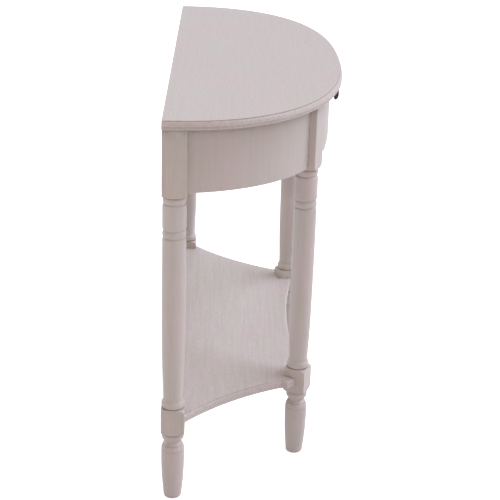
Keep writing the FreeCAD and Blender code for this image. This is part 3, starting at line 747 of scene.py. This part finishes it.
def rounded_out(outline, pieces):
    """Divides each stretch of a bow into short ones that lie on the curve through its points."""
    onward = np.roll(outline, -1, axis=0)
    along = unit_rows(onward - outline)
    turn_in = crossed(np.roll(along, 1, axis=0), along)
    turn_out = np.roll(turn_in, -1)
    made = []
    for start, end, way, first, last in zip(outline, onward, along, turn_in, turn_out):
        made.append(start)
        gentle = [turn for turn in (first, last) if abs(turn) < gentle_turn]
        if not gentle:
            continue
        turn = min(gentle, key=abs)
        length = np.linalg.norm(end - start)
        side = np.array((way[1], -way[0]))
        for step in range(1, pieces):
            share = step / pieces
            bulge = length * turn / 2 * share * (1 - share)
            made.append(start + (end - start) * share + side * bulge)
    return np.array(made)


def moved_outline(outline, moves):
    """Moves each stretch of an outline inwards by its own distance, corners where the stretches meet."""
    along = unit_rows(np.roll(outline, -1, axis=0) - outline)
    inwards = np.stack((-along[:, 1], along[:, 0]), axis=1)
    made = []
    for i, point in enumerate(outline):
        first, second = inwards[i - 1], inwards[i]
        across = crossed(first, second)
        if abs(across) < nearly_straight:
            middle = (first + second) / 2
            made.append(point + middle * (moves[i - 1] + moves[i]) / 2 / middle.dot(middle))
        else:
            x = (moves[i - 1] * second[1] - moves[i] * first[1]) / across
            y = (moves[i] * first[0] - moves[i - 1] * second[0]) / across
            made.append(point + (x, y))
    return np.array(made)


def on_a_block(points):
    """Which points lie on a leg's block, seen from above."""
    found = np.zeros(len(points), bool)
    for node, turn in leg_turns.items():
        away = points - np.array(middle_in_plan(node))
        across = away @ (math.cos(turn), math.sin(turn))
        ahead = away @ (-math.sin(turn), math.cos(turn))
        far = np.maximum(np.abs(across), np.abs(ahead))
        found |= np.abs(far - half_block) < same_face
    return found


def plain_inset(z, low, high):
    """How far a sawn edge is eased at one height of its board."""
    near = min(z - low, high - z)
    if near >= sawn_edge_arris:
        return 0.0
    return sawn_edge_arris - math.sqrt(max(0.0, sawn_edge_arris ** 2 - (sawn_edge_arris - near) ** 2))


def finished_board(mesh, material):
    """A board's mesh shaded smooth between its creases, in its material."""
    mesh.polygons.foreach_set("use_smooth", [True] * len(mesh.polygons))
    mesh.set_sharp_from_angle(angle=board_crease)
    mesh.materials.clear()
    mesh.materials.append(material)
    return mesh


def board_from_rings(outline, moulded, joint, rings, material):
    """A board built up of rings, each with its inset where moulded, its height, its glaze and its rubbing."""
    count = len(outline)
    shaped = moulded & np.roll(moulded, 1)
    points, glaze, rub = [], [], []
    low, high = rings[0][1], rings[-1][1]
    for inset, z, glazed_and_shaded, rubbed in rings:
        moves = np.where(moulded, inset, np.where(joint, 0, plain_inset(z, low, high)))
        points += [(x, y, z) for x, y in moved_outline(outline, moves)]
        glaze += list(glazed_and_shaded * shaped)
        rub += list(rubbed * shaped)
    faces = [tuple(range(count - 1, -1, -1)), tuple(range(len(points) - count, len(points)))]
    for start in range(0, len(points) - count, count):
        for i in range(count):
            j = (i + 1) % count
            faces.append((start + i, start + j, start + count + j, start + count + i))
    mesh = bpy.data.meshes.new("board")
    mesh.from_pydata(points, [], faces)
    for label, values in (("glaze", glaze), ("rub", rub)):
        mesh.attributes.new(label, "FLOAT", "POINT").data.foreach_set("value", values)
    return finished_board(mesh, material)


def quarter(inset, z, run, rise, rising_in, glaze, rub):
    """Rings of a quarter round: outwards from the underside, or inwards to the surface."""
    rings = []
    for step in range(fillet_steps + 1):
        angle = math.pi / 2 * step / fillet_steps
        if rising_in:
            move, lift = run * (1 - math.cos(angle)), rise * math.sin(angle)
        else:
            move, lift = -run * math.sin(angle), rise * (1 - math.cos(angle))
        rings.append((inset + move, z + lift, glaze, rub))
    return rings


def make_moulded_board(node, material, arris, run, rise, step, ledge, upright_painted_shade, quirk_glaze_and_shade):
    """Top or shelf: an eased lower edge, an upright, a roll, and the step up to the flat."""
    low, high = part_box(node)
    base, surface = low.z, high.z
    quirk = run + ledge
    raw = rounded_out(without_short_steps(underside_outline(node)), moulded_pieces)
    middle = (raw + np.roll(raw, -1, axis=0)) / 2
    joint = on_a_block(middle)
    back = middle[:, 1] > high.y - back_edge_reach
    moulded = ~joint & ~back
    outline = moved_outline(raw, np.where(moulded, -arris, 0.0))
    shoulder = surface - step
    soft = step_softness
    rings = quarter(arris, base, arris, arris, False, 0.0, 0.9) if arris else [(0.0, base, 0.0, 0.3)]
    wall = shoulder - rise - base - arris
    # Painted shade: the upright is darkened in a band under the roll
    for share, amount in upright_painted_shade_shares:
        rings.append((0.0, base + arris + wall * share, upright_painted_shade * amount, 0.0))
    # The roll is lightened with the rubbed wood's colour: a painted highlight where it catches the light from above
    rings += quarter(0.0, shoulder - rise, run, rise, True, 0.0, 0.2)[:-1]
    # The step's crease: brown glaze in it, and painted shadow where the step would shade it
    rings += [
        (quirk - soft, shoulder, 0.3 * quirk_glaze_and_shade, 0.0),
        (quirk, shoulder, quirk_glaze_and_shade, 0.0),
        (quirk + soft / 5, surface - soft, 0.6 * quirk_glaze_and_shade, 0.2),
        (quirk + soft / 2, surface - soft / 4, 0.0, 0.8),
        (quirk + soft * 1.5, surface, 0.0, 0.5),
        (quirk + soft * 4, surface, 0.0, 0.0),
    ]
    board = board_from_rings(outline, moulded, joint, rings, material)
    add_piece("moulded_" + node, board, "table", "limed_wood", node)


def make_bowed_board(node, body, material, arris, keep_front_only=False, upper_painted_shade=0.0):
    """An apron or the drawer's face: a bowed board with eased lower and upper edges."""
    low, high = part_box(node)
    base = low.z if keep_front_only else low.z - apron_drop
    raw = rounded_out(without_short_steps(underside_outline(node)), bowed_pieces)
    onward = np.roll(raw, -1, axis=0)
    middle = (raw + onward) / 2
    joint = on_a_block(middle)
    if keep_front_only:
        joint[:] = False
        moulded = middle[:, 1] < low.y + face_depth_share * (high.y - low.y)
        moulded &= np.abs(unit_rows(onward - raw)[:, 0]) > face_slant
    else:
        moulded = ~joint
    outline = moved_outline(raw, np.where(moulded, -arris, 0.0))
    rings = quarter(arris, base, arris, arris, False, 0.0, 0.7)
    rings += [(0.0, base + 3 * arris, 0.0, 0.0)]
    # Painted shade under the top: the upper band darkens towards the top's underside, where its shadow falls
    rings += [(0.0, high.z - painted_shade_reach, 0.0, 0.0), (0.0, high.z - 3 * arris, 0.8 * upper_painted_shade, 0.0)]
    rings += quarter(0.0, high.z - arris, arris, arris, True, upper_painted_shade, 0.5 if upper_painted_shade == 0 else 0.0)
    board = board_from_rings(outline, moulded, joint, rings, material)
    add_piece("bowed_" + node, board, body, "limed_wood", node)


def make_eased_board(node, body, material, slot="bare_wood", width=planed_edge_arris):
    """A squared board from its CAD node, with its sharp edges eased as a hand plane leaves them."""
    shape = merged_copy(node)
    bmesh.ops.dissolve_limit(shape, angle_limit=math.radians(1), verts=shape.verts, edges=shape.edges)
    mesh = bpy.data.meshes.new(node)
    shape.to_mesh(mesh)
    shape.free()
    maker = new_object("maker", mesh)
    bevel = maker.modifiers.new("ease", "BEVEL")
    bevel.width = width
    bevel.segments = 2
    bevel.limit_method = "ANGLE"
    bevel.angle_limit = planed_corner
    add_piece("eased_" + node, finished_board(taken_off(maker), material), body, slot, node)


def make_screw_tree():
    """A countersunk screw with a cross recess, set on each seat and pointed its way."""
    inputs = {"Seats": "Geometry", "Head Radius": screw_head_radius, "Head Depth": screw_head_depth}
    inputs.update({"Shank Radius": screw_radius, "Length": 0.03, "Sides": screw_sides, "Material": "Material"})
    inputs.update({"Recess Width": recess_width, "Recess Depth": recess_depth})
    bench, given, result = new_tree("countersunk_screws", "GeometryNodeTree", inputs, {"Screws": "Geometry"})
    calc, times, get = bench.calc, bench.times, bench.get
    head_radius, shank_radius, length = given["Head Radius"], given["Shank Radius"], given["Length"]

    def lifted(shape, rise):
        return get("GeometryNodeTransform", {"Geometry": shape, "Translation": bench.triple(0.0, 0.0, rise)})

    sides = {"Vertices": given["Sides"]}
    values = {**sides, "Radius Bottom": head_radius, "Radius Top": shank_radius, "Depth": given["Head Depth"]}
    cut = {"Mesh 1": get("GeometryNodeMeshCone", values)}
    cut = bench.add("GeometryNodeMeshBoolean", cut, operation="DIFFERENCE", solver="EXACT")
    recess_length = times(head_radius, recess_length_share)
    twice_depth = times(given["Recess Depth"], 2.0)
    for across, ahead in ((recess_length, given["Recess Width"]), (given["Recess Width"], recess_length)):
        slot = get("GeometryNodeMeshCube", {"Size": bench.triple(across, ahead, twice_depth)})
        bench.feed(cut.inputs["Mesh 2"], slot)
    tip = times(shank_radius, tip_length_share)
    shank_length = calc("SUBTRACT", calc("SUBTRACT", length, given["Head Depth"]), tip)
    shank = get("GeometryNodeMeshCylinder", {**sides, "Radius": shank_radius, "Depth": shank_length})
    shank = lifted(shank, calc("ADD", given["Head Depth"], times(shank_length, 0.5)))
    values = {**sides, "Radius Bottom": shank_radius, "Radius Top": tip_radius, "Depth": tip}
    point = lifted(get("GeometryNodeMeshCone", values), calc("SUBTRACT", length, tip))
    screw = bench.add("GeometryNodeJoinGeometry")
    for part in (point, shank, cut.outputs["Mesh"]):
        bench.feed(screw.inputs["Geometry"], part)
    screw = creased(bench, screw.outputs[0], screw_crease)
    way = get("GeometryNodeInputNamedAttribute", {"Name": "way"}, data_type="FLOAT_VECTOR")
    turn = get("FunctionNodeAlignRotationToVector", {"Vector": way}, axis="Z")
    placed = get("GeometryNodeInstanceOnPoints", {"Points": given["Seats"], "Instance": screw, "Rotation": turn})
    return end_tree(bench, placed, given["Material"], result["Screws"])


def separate_solids(node):
    """The lowest and highest corner of each separate solid of a CAD node."""
    shape = merged_copy(node)
    left = set(shape.verts)
    found = []
    while left:
        waiting = [left.pop()]
        solid = []
        while waiting:
            vert = waiting.pop()
            solid.append(vert.co.copy())
            beside = {edge.other_vert(vert) for edge in vert.link_edges} & left
            left -= beside
            waiting += beside
        corners = np.array(solid)
        found.append((corners.min(axis=0), corners.max(axis=0)))
    shape.free()
    return sorted(found, key=lambda box: tuple(box[0].round(5)))


def make_screws(tree, node, body, way, material):
    """Screws in place of a CAD node: each head lies where the solid's box begins, seen along its way."""
    seats = []
    for low, high in separate_solids(node):
        half = (high - low) / 2 * np.abs(way)
        seats.append(tuple((low + high) / 2 - np.array(way) * half))
        length = float((high - low) @ np.abs(way))
    mesh = bpy.data.meshes.new("seats")
    mesh.from_pydata(seats, [], [])
    mesh.attributes.new("way", "FLOAT_VECTOR", "POINT").data.foreach_set("vector", list(way) * len(seats))
    made = run_tree(mesh, tree, {"Length": length, "Material": material})
    add_piece("cross_" + node, made, body, "screw_steel", node)


def make_camera():
    """The camera in the photograph's place, turned the way the photograph was taken."""
    flat = math.cos(camera_tilt)
    ahead = Vector((flat * math.cos(camera_yaw), flat * math.sin(camera_yaw), -math.sin(camera_tilt)))
    level = Vector((math.sin(camera_yaw), -math.cos(camera_yaw), 0))
    above = level.cross(ahead)
    right = math.cos(camera_roll) * level + math.sin(camera_roll) * above
    up = math.cos(camera_roll) * above - math.sin(camera_roll) * level
    data = bpy.data.cameras.new("camera")
    data.lens = camera_lens_mm
    data.sensor_width = camera_sensor_mm
    camera = new_object("camera", data)
    turn = Matrix((right, up, -ahead)).transposed()
    camera.matrix_world = Matrix.Translation(camera_place) @ turn.to_4x4()
    scene.camera = camera


def make_world():
    """A soft studio room: each side of it glows in its own colour, and they fade into one another."""
    world = bpy.data.worlds.new("soft_studio")
    scene.world = world
    world.use_nodes = True
    bench = Bench(world.node_tree)
    world.node_tree.nodes.clear()
    way = bench.vector("NORMALIZE", bench.add("ShaderNodeTexCoord").outputs["Generated"])
    parts = bench.add("ShaderNodeSeparateXYZ", {0: way}).outputs
    glow = room_light
    for axis, sign, colour in room_sides:
        facing = bench.calc("MAXIMUM", bench.times(parts[axis], sign), 0.0)
        glow = bench.vector("MULTIPLY_ADD", bench.triple(facing, facing, facing), colour, glow)
    seen = bench.add("ShaderNodeLightPath").outputs["Is Camera Ray"]
    values = {"Color": bench.mix(seen, glow, white), "Strength": 1.0}
    bench.add("ShaderNodeOutputWorld", {"Surface": bench.get("ShaderNodeBackground", values)})


def add_light(name, kind, strength, colour, place, aim):
    """A light at its place, turned towards its aim."""
    data = bpy.data.lights.new(name, kind)
    data.energy = strength
    data.color = colour
    light = new_object(name, data)
    light.location = place
    light.rotation_euler = (Vector(place) - Vector(aim)).to_track_quat("Z", "Y").to_euler()
    return light


def make_lights():
    """The large soft key light, and the small lamp just above the camera."""
    key = add_light("key_softbox", "SUN", key_strength, key_colour, key_direction, (0, 0, 0))
    key.data.angle = math.radians(key_spread_degrees)
    place = Vector(camera_place) + Vector((0, 0, lamp_rise))
    lamp = add_light("camera_lamp", "AREA", lamp_watts, lamp_colour, place, (0, 0, lamp_aim_share * leg_height))
    lamp.data.shape = "DISK"
    lamp.data.size = lamp_width
    lamp.visible_camera = False


def make_floor():
    """The white ground, which glows for the camera and in what is mirrored, and is clear from below."""
    mesh = bpy.data.meshes.new("floor")
    sides = ((-1, -1), (1, -1), (1, 1), (-1, 1))
    mesh.from_pydata([(floor_reach * x, floor_reach * y, -floor_drop) for x, y in sides], [], [(0, 1, 2, 3)])
    floor = new_object("floor", mesh)
    material, bench, shader, place = new_material("pale_floor")
    ray = bench.add("ShaderNodeLightPath").outputs
    glow = bench.times(ray["Is Camera Ray"], floor_glow)
    sheen = bench.times(ray["Is Glossy Ray"], floor_sheen)
    behind = bench.add("ShaderNodeNewGeometry").outputs["Backfacing"]
    bench.feed_all(shader, {
        "Base Color": bench.mix(bench.noise(place, scale=1.5, detail=2.0), floor_grey, floor_pale),
        "Roughness": 0.9,
        "Emission Color": white,
        "Emission Strength": bench.calc("ADD", glow, sheen),
        "Alpha": bench.calc("SUBTRACT", 1.0, behind),
    })
    mesh.materials.append(material)


quarter_turn = math.pi / 2
grain_group = make_grain_group()
edge_group = make_edge_group()
limed_group = make_limed_group(grain_group, edge_group)
along_x, along_y, along_z = (0, 0, 0), (0, 0, quarter_turn), (0, quarter_turn, 0)
limed_top, limed_across, limed_upright, limed_turned = (
    make_limed_wood("limed_wood_" + name, limed_group, grain_turn, contrast, mottle, pores, lift)
    for name, grain_turn, contrast, mottle, pores, lift in (
        ("top", along_x, 0.16, 0.62, 0.6, 1.0),
        ("across", along_x, 0.44, 0.46, 0.8, 1.0),
        ("upright", along_z, 0.22, 0.10, 0.4, 1.03),
        ("turned", along_z, 0.30, 0.10, 0.4, 1.07),
    )
)
bare_pine = make_raw_wood("bare_pine", grain_group, pine_light, pine_dark, along_x, ring_scale=14.0)
bare_pine_deep = make_raw_wood("bare_pine_deep", grain_group, pine_light, pine_dark, along_y, ring_scale=14.0)
birch_ply = make_raw_wood("birch_ply", grain_group, ply_light, ply_dark, along_x, ring_scale=4.0)
dark_bronze = make_metal("dark_bronze", edge_group, bronze_dark, bronze_rubbed, smooth=0.32, speckle=420.0)
bright_zinc = make_metal("bright_zinc", edge_group, zinc_dull, zinc_bright, smooth=0.28, speckle=700.0)

make_camera()
make_world()
make_lights()
make_floor()

turning_tree = make_turning_tree()
make_legs(turning_tree, limed_turned)
make_knob(turning_tree, dark_bronze)

for node, material in (("top", limed_top), ("shelf", limed_across)):
    make_moulded_board(node, material, **mouldings[node])
for node in ("apron_left", "apron_right"):
    make_bowed_board(node, "table", limed_upright, apron_arris, upper_painted_shade=painted_shade_under_top)
make_bowed_board("drawer_front", "drawer", limed_across, drawer_face_arris, keep_front_only=True)

for node in ("back_rail", "front_rail_upper", "front_rail_lower"):
    make_eased_board(node, "table", limed_across, "limed_wood", sawn_edge_arris)
for side in ("left", "right"):
    for name in ("runner_", "guide_", "kicker_"):
        make_eased_board(name + side, "table", bare_pine_deep)
    make_eased_board("corner_block_" + side, "table", bare_pine)
    make_eased_board("drawer_side_" + side, "drawer", bare_pine_deep)
for node in ("drawer_back", "drawer_box_front", "stop_button"):
    make_eased_board(node, "drawer", bare_pine)

screw_tree = make_screw_tree()
make_screws(screw_tree, "top_screws", "table", (0, 0, 1), bright_zinc)
make_screws(screw_tree, "drawer_front_screws", "drawer", (0, -1, 0), bright_zinc)
make_screws(screw_tree, "stop_button_screw", "drawer", (0, 1, 0), bright_zinc)

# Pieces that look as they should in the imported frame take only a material
kept_nodes = {"drawer_bottom": birch_ply, "frame_dowels": bare_pine, "small_dowels": bare_pine}
kept_nodes["knob_screw"] = bright_zinc
for node, material in kept_nodes.items():
    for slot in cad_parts[node].material_slots:
        slot.material = material
